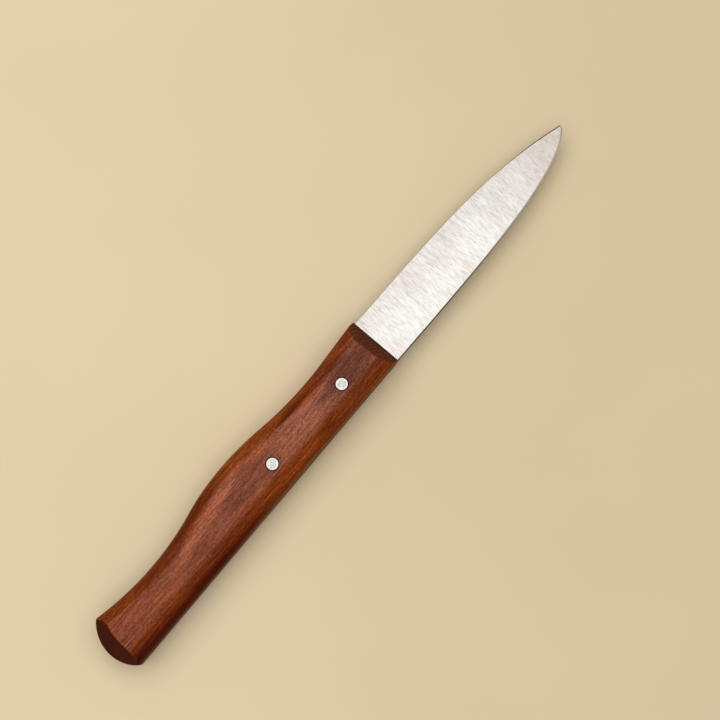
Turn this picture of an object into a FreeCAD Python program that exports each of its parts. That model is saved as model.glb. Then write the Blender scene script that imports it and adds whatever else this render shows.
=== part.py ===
import FreeCAD, Part
import math
import os

import Sketcher
from FreeCAD import Placement, Rotation, Vector

# A paring knife that lies on its side: +X to the tip, +Y to the spine, +Z up, in millimetres.
# Every piece is drawn about the front end of the handle, with X = 0 on the handle's front face,
# Y = 0 on the line of the cutting edge at the heel and Z = 0 in the middle of the steel.
# The Placement of each piece then lays the knife on the flat side of its handle.

SIZES = {
    # Blade, ground on both sides from the spine down to a narrow sharpened bevel
    "blade_length": 80.0,
    "blade_height": 15.55,
    "tip_height": 8.8,
    "spine_curve": 3.75,
    "edge_curve": 3.9,
    "edge_fullness": 1.66,
    "steel_thickness": 1.5,
    "tip_thickness": 0.5,
    "shoulder_thickness": 0.3,
    "edge_thickness": 0.08,
    "edge_bevel": 0.4,
    "tip_flat": 0.04,
    # Tang, lower than the blade by a shoulder, with a round end that starts ahead of the rear rivet
    "shoulder_height": 3.15,
    "tang_round_lead": 5.9,
    "tang_end_radius": 20.0,
    "heel_inset": 1.0,
    # Handle outline: each rise or fall is from the point before it, the first from the blade's spine
    "handle_length": 111.0,
    "front_rim": 0.45,
    "waist_back": 22.5,
    "waist_fall": 1.35,
    "waist_turn": 4.0,
    "hump_back": 53.5,
    "hump_rise": 2.55,
    "hump_share": 0.47,
    "dip_ahead": 24.5,
    "dip_fall": 3.55,
    "butt_inset": 4.9,
    "butt_rise": 2.55,
    "butt_tilt": 0.3,
    "belly_drop": 1.4,
    # Handle section and its two bevelled ends
    "handle_thickness": 12.0,
    "handle_rounding": 4.8,
    "front_bevel": 3.9,
    "front_land": 2.6,
    "butt_bevel": 5.2,
    "butt_land": 2.0,
    "butt_slant": 7.6,
    "edge_softening": 0.2,
    "slot_clearance": 0.05,
    # Rivets, straight pins whose ends are hammered into small countersinks
    "rivet_back": 15.4,
    "rivet_spacing": 28.5,
    "rivet_drop": 0.575,
    "rivet_diameter": 3.0,
    "rivet_head_diameter": 3.5,
    "rivet_head_depth": 0.6,
    "rivet_clearance": 0.03,
}

# Heights above the line of the cutting edge, and lengths back from the handle's front face
TANG_TOP = "(sizes.blade_height - sizes.shoulder_height)"
FRONT_TOP = "(sizes.blade_height + sizes.front_rim)"
WAIST_TOP = f"({FRONT_TOP} - sizes.waist_fall)"
HUMP_TOP = f"({WAIST_TOP} + sizes.hump_rise)"
DIP_TOP = f"({HUMP_TOP} - sizes.dip_fall)"
DIP_BACK = "(sizes.handle_length - sizes.dip_ahead)"
BUTT_TOP = f"({DIP_TOP} + sizes.butt_rise)"
BUTT_MIDDLE = f"(({BUTT_TOP} - sizes.belly_drop) / 2 - sizes.butt_tilt)"
RIVET_HEIGHT = f"({WAIST_TOP} / 2 - sizes.rivet_drop)"

# Where each rivet stands, back from the handle's front face
RIVET_PLACES = {
    "front_rivet": "sizes.rivet_back",
    "rear_rivet": "sizes.rivet_back + sizes.rivet_spacing",
}

# Stations along the ground blade, from the hidden heel to the tip, closer together at the tip
STATION_COUNT = 13
STATION_CROWDING = 1.6

# Most of the blade's height that the sharpened bevel takes, where the blade narrows to its point
BEVEL_SHARE = 0.3

# How far a cut reaches past the material that it removes
OVERCUT = 2.0

# Distance within which points count as touching when edges are picked
TOUCH = 0.01

doc = FreeCAD.newDocument("paring_knife")


def make_sheet():
    """Write every driving size into its own named cell."""
    sheet = doc.addObject("Spreadsheet::Sheet", "sizes")
    for row, (name, value) in enumerate(SIZES.items(), start=1):
        sheet.set(f"A{row}", name)
        sheet.set(f"B{row}", str(value))
        sheet.setAlias(f"B{row}", name)
    doc.recompute()


def make_body(label):
    """Start a piece and lay it on the handle's side, with the knife centred over the origin."""
    body = doc.addObject("PartDesign::Body", label)
    body.Label = label
    body.setExpression("Placement.Base.x", "(sizes.handle_length - sizes.blade_length) / 2")
    body.setExpression("Placement.Base.y", f"(sizes.belly_drop - {HUMP_TOP}) / 2")
    body.setExpression("Placement.Base.z", "sizes.handle_thickness / 2")
    return body


def make_sketch(body, name, plane_role, offsets=None, turn=Rotation()):
    """Attach a sketch to one of the body's planes; offsets binds parts of its attachment offset."""
    sketch = body.newObject("Sketcher::SketchObject", name)
    plane = next(item for item in body.Origin.OriginFeatures if item.Role == plane_role)
    sketch.AttachmentSupport = [(plane, "")]
    sketch.MapMode = "FlatFace"
    sketch.AttachmentOffset = Placement(Vector(), turn)
    for path, expression in (offsets or {}).items():
        sketch.setExpression(f"AttachmentOffset.{path}", expression)
    return sketch


def bind(sketch, constraint, expression):
    """Add a driving constraint and tie it to the sheet."""
    index = sketch.addConstraint(constraint)
    sketch.setExpression(f"Constraints[{index}]", expression)


def bind_point(sketch, curve, vertex, x, y):
    """Hold one point of a curve at two expressions, measured from the sketch's origin."""
    place = sketch.getPoint(curve, vertex)
    bind(sketch, Sketcher.Constraint("DistanceX", -1, 1, curve, vertex, place.x), x)
    bind(sketch, Sketcher.Constraint("DistanceY", -1, 1, curve, vertex, place.y), y)


def add_marks(sketch, marks):
    """Hold a construction point at each pair of expressions; returns the points and their places."""
    points = {}
    for name, (x, y) in marks.items():
        points[name] = sketch.addGeometry(Part.Point(Vector()), True)
        bind_point(sketch, points[name], 1, x, y)
    doc.recompute()
    return points, {name: sketch.getPoint(point, 1) for name, point in points.items()}


def join(sketch, kind, curve, vertex, other, other_vertex):
    """Tie a point of one curve to a point of another one."""
    sketch.addConstraint(Sketcher.Constraint(kind, curve, vertex, other, other_vertex))


def arc_about(center, start, end):
    """An arc about a center, counter-clockwise from the start's direction to the end's."""
    spokes = (start - center, end - center)
    circle = Part.Circle(center, Vector(0, 0, 1), spokes[0].Length)
    turns = [math.atan2(spoke.y, spoke.x) for spoke in spokes]
    return Part.ArcOfCircle(circle, turns[0], turns[1])


def join_in_loop(sketch, curves):
    """Join the end of each curve to the start of the next one."""
    for curve, following in zip(curves, curves[1:] + curves[:1]):
        join(sketch, "Coincident", curve, 2, following, 1)


def add_polygon(sketch, corners):
    """Draw a rough closed polygon, then hold each corner at its pair of expressions."""
    count = len(corners)
    turns = [2 * math.pi * index / count for index in range(count)]
    places = [Vector(math.cos(turn), math.sin(turn), 0) for turn in turns]
    lines = []
    for start, end in zip(places, places[1:] + places[:1]):
        lines.append(sketch.addGeometry(Part.LineSegment(start, end)))
    join_in_loop(sketch, lines)
    for line, (x, y) in zip(lines, corners):
        bind_point(sketch, line, 1, x, y)


def symmetric_feature(body, kind, name, sketch, length):
    """Pad or pocket a sketch equally to both sides of its plane."""
    feature = body.newObject(f"PartDesign::{kind}", name)
    feature.Profile = sketch
    feature.SideType = "Symmetric"
    feature.setExpression("Length", length)
    doc.recompute()
    return feature


def round_edges(body, name, base, edges, radius):
    """Round the named edges of a feature."""
    fillet = body.newObject("PartDesign::Fillet", name)
    fillet.Base = (base, edges)
    fillet.setExpression("Radius", radius)
    doc.recompute()


def belly_height(x):
    """Height of the handle's straight belly at the position x, as an expression."""
    return f"sizes.belly_drop * ({x}) / sizes.handle_length"


def add_tang_outline(sketch, front, gap, front_bottom, butt_bottom):
    """Draw the tang's side view, or the slot that clears it by gap on its top and its round end."""
    top = f"{TANG_TOP} + {gap}"
    round_back = f"-({RIVET_PLACES['rear_rivet']} - sizes.tang_round_lead)"
    marks = {
        "front_bottom": (front, front_bottom),
        "front_top": (front, top),
        "round_top": (round_back, top),
        "round_center": (round_back, f"{TANG_TOP} - sizes.tang_end_radius"),
        "belly_end": ("-sizes.handle_length", butt_bottom),
    }
    points, at = add_marks(sketch, marks)
    end_shape = arc_about(at["round_center"], at["round_top"], at["belly_end"])

    front_line = sketch.addGeometry(Part.LineSegment(at["front_bottom"], at["front_top"]))
    top_line = sketch.addGeometry(Part.LineSegment(at["front_top"], at["round_top"]))
    end_arc = sketch.addGeometry(end_shape)
    bottom_line = sketch.addGeometry(Part.LineSegment(end_shape.EndPoint, at["front_bottom"]))
    join(sketch, "Coincident", front_line, 1, points["front_bottom"], 1)
    join(sketch, "Coincident", front_line, 2, points["front_top"], 1)
    join(sketch, "Coincident", top_line, 1, front_line, 2)
    join(sketch, "Coincident", top_line, 2, points["round_top"], 1)
    join(sketch, "Coincident", end_arc, 3, points["round_center"], 1)
    join(sketch, "Coincident", end_arc, 1, top_line, 2)
    join(sketch, "Coincident", end_arc, 2, bottom_line, 1)
    join(sketch, "Coincident", bottom_line, 2, front_line, 1)
    sketch.addConstraint(Sketcher.Constraint("PointOnObject", points["belly_end"], 1, bottom_line))


def add_blade_section(body, index):
    """One cross-section of the ground blade: spine, flat flanks and the sharpened bevel."""
    left = 1 - index / (STATION_COUNT - 1)
    length = "(sizes.blade_length + sizes.heel_inset)"
    share = f"({1 - left**STATION_CROWDING} * (1 - sizes.tip_flat / {length}))"
    position = f"{share} * {length} - sizes.heel_inset"
    sketch = make_sketch(body, f"blade_section_{index}", "YZ_Plane", {"Base.z": position})
    spine_fall = f"(sizes.blade_height - sizes.tip_height) * {share} ^ sizes.spine_curve"
    spine = f"sizes.blade_height - {spine_fall}"
    edge = f"sizes.tip_height * (1 - (1 - {share} ^ sizes.edge_curve) ^ (1 / sizes.edge_fullness))"
    shoulder = f"{edge} + min(sizes.edge_bevel; {BEVEL_SHARE} * ({spine} - {edge}))"
    spine_half = f"(sizes.steel_thickness - (sizes.steel_thickness - sizes.tip_thickness) * {share}) / 2"
    corners = [
        (edge, "sizes.edge_thickness / 2"),
        (edge, "-sizes.edge_thickness / 2"),
        (shoulder, "-sizes.shoulder_thickness / 2"),
        (spine, f"-{spine_half}"),
        (spine, spine_half),
        (shoulder, "sizes.shoulder_thickness / 2"),
    ]
    add_polygon(sketch, corners)
    return sketch


def make_blade():
    """The ground blade and its flat tang, one piece of steel."""
    body = make_body("blade")
    sections = [add_blade_section(body, index) for index in range(STATION_COUNT)]
    loft = body.newObject("PartDesign::AdditiveLoft", "ground_blade")
    loft.Profile = sections[0]
    loft.Sections = sections[1:]
    doc.recompute()

    tang = make_sketch(body, "tang_outline", "XY_Plane")
    front = "-sizes.heel_inset"
    add_tang_outline(tang, front, "0", belly_height(front), "-sizes.belly_drop")
    symmetric_feature(body, "Pad", "tang", tang, "sizes.steel_thickness")

    notch = make_sketch(body, "shoulder_notch_outline", "XY_Plane")
    notch_back = f"-sizes.heel_inset - {OVERCUT}"
    notch_top = f"sizes.blade_height + {OVERCUT}"
    corners = [
        (notch_back, TANG_TOP),
        ("0", TANG_TOP),
        ("0", notch_top),
        (notch_back, notch_top),
    ]
    add_polygon(notch, corners)
    symmetric_feature(body, "Pocket", "shoulder_notch", notch, f"sizes.steel_thickness + {OVERCUT}")

    holes = make_sketch(body, "tang_hole_outline", "XY_Plane")
    for back in RIVET_PLACES.values():
        circle = Part.Circle(Vector(), Vector(0, 0, 1), SIZES["rivet_diameter"] / 2)
        hole = holes.addGeometry(circle)
        bind_point(holes, hole, 3, f"-({back})", RIVET_HEIGHT)
        diameter = Sketcher.Constraint("Diameter", hole, SIZES["rivet_diameter"])
        bind(holes, diameter, "sizes.rivet_diameter + 2 * sizes.rivet_clearance")
    symmetric_feature(body, "Pocket", "tang_holes", holes, f"sizes.steel_thickness + {OVERCUT}")
    return body


def level_arc_radius(run, rise):
    """Radius of an arc that starts level and reaches a point at this run and rise."""
    return f"(({run}) ^ 2 + ({rise}) ^ 2) / (2 * ({rise}))"


def hump_side(hollow_back, hollow_top):
    """Radii of the hump's arc and the hollow's arc, which run smoothly into each other."""
    both = level_arc_radius(f"sizes.hump_back - {hollow_back}", f"{HUMP_TOP} - {hollow_top}")
    return f"sizes.hump_share * {both}", f"(1 - sizes.hump_share) * {both}"


def level_turn_radius(turn, run, rise):
    """Radius of an arc that starts level, with tangents of length turn, and aims at this run and rise."""
    past_turn = f"({run} - {turn})"
    return f"{turn} * {rise} / (sqrt({past_turn} ^ 2 + {rise} ^ 2) - {past_turn})"


def outline_marks():
    """The high and low points and the arc centers of the handle's side view."""
    lead_radius = level_turn_radius("sizes.waist_turn", "sizes.waist_back", "sizes.waist_fall")
    hump_front_radius, waist_radius = hump_side("sizes.waist_back", WAIST_TOP)
    hump_rear_radius, dip_radius = hump_side(DIP_BACK, DIP_TOP)
    flare_radius = level_arc_radius("sizes.dip_ahead - sizes.butt_inset", "sizes.butt_rise")
    butt_radius = level_arc_radius(f"{BUTT_TOP} - {BUTT_MIDDLE}", "sizes.butt_inset")
    return {
        "front_bottom": ("0", "0"),
        "front_top": ("0", FRONT_TOP),
        "waist": ("-sizes.waist_back", WAIST_TOP),
        "lead_center": ("-sizes.waist_back", f"{WAIST_TOP} + {lead_radius}"),
        "waist_center": ("-sizes.waist_back", f"{WAIST_TOP} + {waist_radius}"),
        "hump": ("-sizes.hump_back", HUMP_TOP),
        "hump_front_center": ("-sizes.hump_back", f"{HUMP_TOP} - {hump_front_radius}"),
        "hump_rear_center": ("-sizes.hump_back", f"{HUMP_TOP} - {hump_rear_radius}"),
        "dip": (f"-{DIP_BACK}", DIP_TOP),
        "dip_center": (f"-{DIP_BACK}", f"{DIP_TOP} + {dip_radius}"),
        "flare_center": (f"-{DIP_BACK}", f"{DIP_TOP} + {flare_radius}"),
        "butt_corner": ("sizes.butt_inset - sizes.handle_length", BUTT_TOP),
        "butt": ("-sizes.handle_length", BUTT_MIDDLE),
        "butt_center": (f"{butt_radius} - sizes.handle_length", BUTT_MIDDLE),
        "belly_end": ("-sizes.handle_length", "-sizes.belly_drop"),
    }


def add_handle_outline(sketch):
    """The handle's side view: flared front, waist, hump, dip, round butt and straight belly."""
    points, at = add_marks(sketch, outline_marks())
    waist_joint = at["hump"] + (at["waist"] - at["hump"]) * SIZES["hump_share"]
    dip_joint = at["hump"] + (at["dip"] - at["hump"]) * SIZES["hump_share"]
    lead_end = at["waist"] + Vector(2 * SIZES["waist_turn"], 0, 0)
    arcs = {
        "lead": arc_about(at["lead_center"], at["waist"], lead_end),
        "waist": arc_about(at["waist_center"], waist_joint, at["waist"]),
        "hump_front": arc_about(at["hump_front_center"], waist_joint, at["hump"]),
        "hump_rear": arc_about(at["hump_rear_center"], at["hump"], dip_joint),
        "dip": arc_about(at["dip_center"], at["dip"], dip_joint),
        "flare": arc_about(at["flare_center"], at["butt_corner"], at["dip"]),
        "butt": arc_about(at["butt_center"], at["butt_corner"], at["belly_end"]),
    }
    drawn = {name: sketch.addGeometry(shape) for name, shape in arcs.items()}
    for name, arc in drawn.items():
        join(sketch, "Coincident", arc, 3, points[f"{name}_center"], 1)
    front = sketch.addGeometry(Part.LineSegment(at["front_bottom"], at["front_top"]))
    flared_top = sketch.addGeometry(Part.LineSegment(at["front_top"], arcs["lead"].EndPoint))
    belly = sketch.addGeometry(Part.LineSegment(arcs["butt"].EndPoint, at["front_bottom"]))

    join(sketch, "Coincident", front, 1, points["front_bottom"], 1)
    join(sketch, "Coincident", front, 2, points["front_top"], 1)
    join(sketch, "Coincident", flared_top, 1, front, 2)
    join(sketch, "Tangent", flared_top, 2, drawn["lead"], 2)
    join(sketch, "Coincident", drawn["lead"], 1, drawn["waist"], 2)
    join(sketch, "Vertical", drawn["waist"], 2, points["waist"], 1)
    join(sketch, "Tangent", drawn["waist"], 1, drawn["hump_front"], 1)
    join(sketch, "Coincident", drawn["hump_front"], 2, points["hump"], 1)
    join(sketch, "Coincident", drawn["hump_rear"], 1, drawn["hump_front"], 2)
    join(sketch, "Tangent", drawn["hump_rear"], 2, drawn["dip"], 2)
    join(sketch, "Vertical", drawn["dip"], 1, points["dip"], 1)
    join(sketch, "Coincident", drawn["flare"], 2, drawn["dip"], 1)
    join(sketch, "Coincident", drawn["butt"], 1, drawn["flare"], 1)
    join(sketch, "Coincident", belly, 1, drawn["butt"], 2)
    join(sketch, "Coincident", belly, 2, front, 1)
    sketch.addConstraint(Sketcher.Constraint("PointOnObject", points["butt"], 1, drawn["butt"]))
    sketch.addConstraint(Sketcher.Constraint("PointOnObject", points["belly_end"], 1, belly))


def long_edges(shape):
    """Names of the edges that run along the handle's two flat sides, without its two ends."""
    names = []
    for index, edge in enumerate(shape.Edges, start=1):
        box = edge.BoundBox
        off_side = abs(abs(box.ZMin) - SIZES["handle_thickness"] / 2)
        along_side = box.ZLength < TOUCH and off_side < TOUCH
        at_front = box.XLength < TOUCH
        at_butt = abs(box.XMin + SIZES["handle_length"]) < TOUCH
        if along_side and not at_front and not at_butt:
            names.append(f"Edge{index}")
    return names


def wedge_edges(shape, sketch, reach, outward):
    """Names of the edges of a wedge-shaped end, without those on its flat end face."""
    to_sketch = sketch.Placement.inverse()
    names = []
    for index, edge in enumerate(shape.Edges, start=1):
        depths = [-outward * to_sketch.multVec(vertex.Point).x for vertex in edge.Vertexes]
        if max(depths) < reach + TOUCH and max(depths) > TOUCH:
            names.append(f"Edge{index}")
    return names


def cut_wedge(body, name, sketch, bevel, land, outward):
    """Cut an end of the handle to a blunt wedge; outward is +1 where it faces the tip, else -1."""
    side = "sizes.handle_thickness / 2"
    rise = f"({side} - sizes.{land} / 2)"
    past_end = f"(sizes.{land} / 2 - {OVERCUT} * {rise} / sizes.{bevel})"
    past_side = f"{-outward} * sizes.{bevel} * (1 + {OVERCUT} / {rise})"
    for sign in ("", "-"):
        corners = [
            (f"{outward * OVERCUT}", f"{sign}{past_end}"),
            (f"{outward * OVERCUT}", f"{sign}({side} + {OVERCUT})"),
            (past_side, f"{sign}({side} + {OVERCUT})"),
        ]
        add_polygon(sketch, corners)
    breadth = f"2 * ({HUMP_TOP} + sizes.belly_drop + {OVERCUT})"
    wedge = symmetric_feature(body, "Pocket", name, sketch, breadth)
    edges = wedge_edges(wedge.Shape, sketch, SIZES[bevel], outward)
    round_edges(body, f"{name}_softening", wedge, edges, "sizes.edge_softening")


def add_rivet_profile(sketch, gap):
    """Half of a rivet's lengthwise section, or of the hole that clears it by gap."""
    shank = f"sizes.rivet_diameter / 2 + {gap}"
    head = f"sizes.rivet_head_diameter / 2 + {gap}"
    end = "sizes.handle_thickness / 2"
    neck = f"({end} - sizes.rivet_head_depth)"
    corners = [
        ("0", f"-{end}"),
        (head, f"-{end}"),
        (shank, f"-{neck}"),
        (shank, neck),
        (head, end),
        ("0", end),
    ]
    add_polygon(sketch, corners)


def turned_feature(body, kind, name, sketch):
    """Turn a profile all the way round the sketch's upright axis."""
    feature = body.newObject(f"PartDesign::{kind}", name)
    feature.Profile = sketch
    feature.ReferenceAxis = (sketch, ["V_Axis"])
    feature.Angle = 360
    doc.recompute()
    return feature


def rivet_axis(back):
    """Attachment offset that puts an upright sketch on the axis of one rivet."""
    return {"Base.x": f"-({back})", "Base.z": f"-{RIVET_HEIGHT}"}


def make_handle():
    """One piece of wood with rounded long edges, bevelled ends, the tang's slot and rivet holes."""
    body = make_body("handle")
    outline = make_sketch(body, "handle_outline", "XY_Plane")
    add_handle_outline(outline)
    blank = symmetric_feature(body, "Pad", "blank", outline, "sizes.handle_thickness")

    rounding = "min(sizes.handle_rounding; sizes.handle_thickness / 2 - sizes.edge_softening)"
    round_edges(body, "long_rounding", blank, long_edges(blank.Shape), rounding)

    front = make_sketch(body, "front_wedge_outline", "XZ_Plane")
    cut_wedge(body, "front_wedge", front, "front_bevel", "front_land", 1)
    butt_offsets = {
        "Base.x": "-sizes.handle_length",
        "Base.z": f"-{BUTT_MIDDLE}",
        "Rotation.Angle": "sizes.butt_slant",
    }
    slant = Rotation(Vector(0, -1, 0), SIZES["butt_slant"])
    butt = make_sketch(body, "butt_wedge_outline", "XZ_Plane", butt_offsets, slant)
    cut_wedge(body, "butt_wedge", butt, "butt_bevel", "butt_land", -1)

    slot = make_sketch(body, "slot_outline", "XY_Plane")
    slot_bottom = f"-sizes.belly_drop - {OVERCUT}"
    add_tang_outline(slot, f"{OVERCUT}", "sizes.slot_clearance", slot_bottom, slot_bottom)
    slot_width = "sizes.steel_thickness + 2 * sizes.slot_clearance"
    symmetric_feature(body, "Pocket", "tang_slot", slot, slot_width)

    for name, back in RIVET_PLACES.items():
        hole = make_sketch(body, f"{name}_hole_profile", "XZ_Plane", rivet_axis(back))
        add_rivet_profile(hole, "sizes.rivet_clearance")
        turned_feature(body, "Groove", f"{name}_hole", hole)
    return body


def make_rivet(name, back):
    """A solid pin with a slightly spread head at each end, flush with the handle's sides."""
    body = make_body(name)
    profile = make_sketch(body, f"{name}_profile", "XZ_Plane", rivet_axis(back))
    add_rivet_profile(profile, "0")
    turned_feature(body, "Revolution", f"{name}_turned", profile)
    return body


make_sheet()
pieces = [make_blade(), make_handle()]
pieces += [make_rivet(name, back) for name, back in RIVET_PLACES.items()]
doc.recompute()

for item in doc.Objects:
    if "Invalid" in item.State or "Error" in item.State:
        raise RuntimeError(f"{item.Label} did not build: {item.State}")
os.makedirs("parts", exist_ok=True)
for piece in pieces:
    if piece.Shape.isNull() or not piece.Shape.isValid() or len(piece.Shape.Solids) != 1:
        raise RuntimeError(f"{piece.Label} is not one sound solid")
for piece in pieces:
    piece.Shape.exportStep(f"parts/{piece.Label}.step")
    box = piece.Shape.optimalBoundingBox()
    print(
        f"{piece.Label}: {piece.Shape.Volume:.1f} mm3, X {box.XMin:.2f} to {box.XMax:.2f}, "
        f"Y {box.YMin:.2f} to {box.YMax:.2f}, Z {box.ZMin:.2f} to {box.ZMax:.2f}"
    )
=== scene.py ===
# %% [markdown]
# # A paring knife
# A pointed blade of ground stainless steel is held by its short tang in the saw slot of a sculpted
# handle, one piece of reddish brown fruit wood. Two aluminium pins go through wood and tang and are
# hammered and sanded flush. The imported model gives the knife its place. The scene rebuilds each of
# the four pieces as a finer mesh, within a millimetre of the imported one, and gives it its finish.

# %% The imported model
import math

import bmesh
import bpy
from mathutils import Matrix, Vector


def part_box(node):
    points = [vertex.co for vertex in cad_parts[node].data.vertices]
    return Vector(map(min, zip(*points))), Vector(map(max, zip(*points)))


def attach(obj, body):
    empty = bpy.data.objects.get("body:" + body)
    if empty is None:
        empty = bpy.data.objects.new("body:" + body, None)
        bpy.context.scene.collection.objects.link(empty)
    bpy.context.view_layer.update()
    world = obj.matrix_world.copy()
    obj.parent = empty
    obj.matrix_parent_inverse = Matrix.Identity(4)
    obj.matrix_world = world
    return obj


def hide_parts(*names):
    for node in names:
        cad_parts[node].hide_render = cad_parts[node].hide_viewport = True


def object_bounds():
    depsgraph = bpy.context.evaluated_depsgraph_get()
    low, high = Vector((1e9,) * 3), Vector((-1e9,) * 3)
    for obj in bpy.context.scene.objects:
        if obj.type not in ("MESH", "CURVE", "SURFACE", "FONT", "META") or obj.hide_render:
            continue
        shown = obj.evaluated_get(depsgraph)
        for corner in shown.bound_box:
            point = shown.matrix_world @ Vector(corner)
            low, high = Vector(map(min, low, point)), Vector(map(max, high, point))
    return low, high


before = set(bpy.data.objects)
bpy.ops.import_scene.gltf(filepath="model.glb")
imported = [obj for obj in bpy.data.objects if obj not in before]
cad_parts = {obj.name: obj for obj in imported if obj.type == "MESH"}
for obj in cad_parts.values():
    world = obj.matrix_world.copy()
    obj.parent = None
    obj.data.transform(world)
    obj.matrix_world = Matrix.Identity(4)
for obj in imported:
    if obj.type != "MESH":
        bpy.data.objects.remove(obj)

cad_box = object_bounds()
print("packed nodes:", ", ".join(sorted(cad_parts)))

# %% [markdown]
# ## The knife's own measures
# A knife is easiest to draw in millimetres from one corner: the foot of the handle's front, where
# the cutting edge starts. x runs to the tip, y to the spine and z through the thickness. One
# function turns these measures into places in the model, so that every piece below uses the same
# corner.

# %% From the handle's front corner to the model
MM = 0.001
HUMP_HEIGHT = 17.2

handle_low, handle_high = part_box("handle")
middle_z = (handle_low.z + handle_high.z) / 2
corner = Vector((handle_high.x, handle_high.y - HUMP_HEIGHT * MM, middle_z))


def at(x, y, z):
    """The place in the model, in metres, of a point in millimetres from the front corner."""
    return corner + Vector((x, y, z)) * MM


print("front corner of the handle:", [round(value / MM, 2) for value in corner])

# %% [markdown]
# ## Camera
# The knife is seen from above, leaning a little towards the butt and the cutting edge, and lies
# across the picture with its tip at the upper right. The camera could be turned by trial, but its
# axes follow directly from these leans: one axis points from the knife to the camera, one along the
# blade as it is seen, and the picture is those two turned by the knife's slope.

# %% The camera's place and turn
PICTURE_WIDTH = 720
LOOK_AT = (-6.71, 8.05, 0)
LEAN_TO_BUTT = math.radians(5)
LEAN_TO_EDGE = math.radians(7.5)
KNIFE_SLOPE = math.radians(49.05)
CAMERA_DISTANCE = 0.42
NEAREST_SEEN = 0.01
FOCAL_PIXELS = 1528.9

lean_x = -math.sin(LEAN_TO_BUTT)
lean_y = -math.sin(LEAN_TO_EDGE)
to_camera = Vector((lean_x, lean_y, math.sqrt(1 - lean_x**2 - lean_y**2)))
along_blade = (Vector((1, 0, 0)) - lean_x * to_camera).normalized()
across_blade = along_blade.cross(to_camera)
picture_right = math.cos(KNIFE_SLOPE) * along_blade + math.sin(KNIFE_SLOPE) * across_blade
picture_up = math.sin(KNIFE_SLOPE) * along_blade - math.cos(KNIFE_SLOPE) * across_blade

camera_data = bpy.data.cameras.new("picture_camera")
camera_data.lens = FOCAL_PIXELS / PICTURE_WIDTH * camera_data.sensor_width
camera_data.clip_start = NEAREST_SEEN
camera = bpy.data.objects.new("picture_camera", camera_data)
camera_turn = Matrix((picture_right, picture_up, to_camera)).transposed().to_4x4()
camera.matrix_world = Matrix.Translation(at(*LOOK_AT) + to_camera * CAMERA_DISTANCE) @ camera_turn
bpy.context.scene.collection.objects.link(camera)
bpy.context.scene.camera = camera
print("camera at", [round(value, 4) for value in camera.location])

# %% [markdown]
# ## Helpers for node materials
# A procedural material is a small graph of nodes. A few helpers keep the graphs short: they add a
# node and set its inputs by name, mix colours, and give a piece's surface its inputs.

# %% Node helpers
MIX_SHARE, MIX_FIRST, MIX_SECOND = 0, 6, 7
MIX_RESULT = 2


def set_inputs(tree, node, inputs):
    """Set a node's inputs; each is a value, or the output of another node to link."""
    for name, value in inputs.items():
        if isinstance(value, bpy.types.NodeSocket):
            tree.links.new(value, node.inputs[name])
        else:
            node.inputs[name].default_value = value


def add_node(tree, kind, inputs=None, **settings):
    """Add a node with its settings and inputs."""
    made = tree.nodes.new(kind)
    for name, value in settings.items():
        setattr(made, name, value)
    set_inputs(tree, made, inputs or {})
    return made


def new_material(name):
    """A new node material, its tree and its surface shader."""
    material = bpy.data.materials.new(name)
    material.use_nodes = True
    return material, material.node_tree, material.node_tree.nodes["Principled BSDF"]


def finish_material(material, shader, inputs):
    """Give a material's surface shader its inputs."""
    tree = material.node_tree
    set_inputs(tree, shader, inputs)
    print(material.name, "has", len(tree.nodes), "nodes")


def combined(tree, how, first, second):
    """One number from two by a sum, a product and so on."""
    return add_node(tree, "ShaderNodeMath", {0: first, 1: second}, operation=how).outputs[0]


def opaque(colour):
    """A colour with full cover, or the output of another node as it is."""
    return colour if isinstance(colour, bpy.types.NodeSocket) else (*colour, 1.0)


def mixed(tree, share, first, second, how="MIX"):
    """Mix two colours by a share."""
    inputs = {MIX_SHARE: share, MIX_FIRST: opaque(first), MIX_SECOND: opaque(second)}
    mix = add_node(tree, "ShaderNodeMix", inputs, data_type="RGBA", blend_type=how)
    return mix.outputs[MIX_RESULT]


# %% [markdown]
# Wood grain and grinding marks both come from stretched noise, which is plain noise read with a
# different scale on each axis. A ramp then turns a range of its values into shares of a colour or
# into tones. Below, a ramp is kept as one row of numbers: where it starts and ends, and what it
# gives there, which is 0 and 1 where nothing is said.

# %% Places, noise, ramps and relief
NOISE_RANGE = (0.3, 0.7)


def object_place(tree):
    """The place on the piece, in metres of the model."""
    return add_node(tree, "ShaderNodeTexCoord").outputs["Object"]


def place_parts(tree):
    """The place on the piece as separate x, y and z."""
    return add_node(tree, "ShaderNodeSeparateXYZ", {0: object_place(tree)}).outputs


def facing_parts(tree):
    """The direction that the surface faces as separate x, y and z."""
    normal = add_node(tree, "ShaderNodeTexCoord").outputs["Normal"]
    return add_node(tree, "ShaderNodeSeparateXYZ", {0: normal}).outputs


def stretched_noise(tree, marks_per_mm, detail=2.0, roughness=0.5, turn=(0, 0, 0), shift=(0, 0, 0)):
    """Noise with its own count of marks per millimetre along x, y and z."""
    scale = [count / MM for count in marks_per_mm]
    inputs = {"Vector": object_place(tree), "Rotation": turn, "Scale": scale, "Location": shift}
    stretched = add_node(tree, "ShaderNodeMapping", inputs).outputs["Vector"]
    inputs = {"Vector": stretched, "Scale": 1.0, "Detail": detail, "Roughness": roughness}
    return add_node(tree, "ShaderNodeTexNoise", inputs).outputs["Fac"]


def between(tree, value, low, high, start=0.0, end=1.0):
    """Bring a value from the range low to high to start to end, eased and kept inside it."""
    inputs = {"Value": value, "From Min": low, "From Max": high, "To Min": start, "To Max": end}
    ramp = add_node(tree, "ShaderNodeMapRange", inputs, interpolation_type="SMOOTHSTEP")
    return ramp.outputs["Result"]


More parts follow.
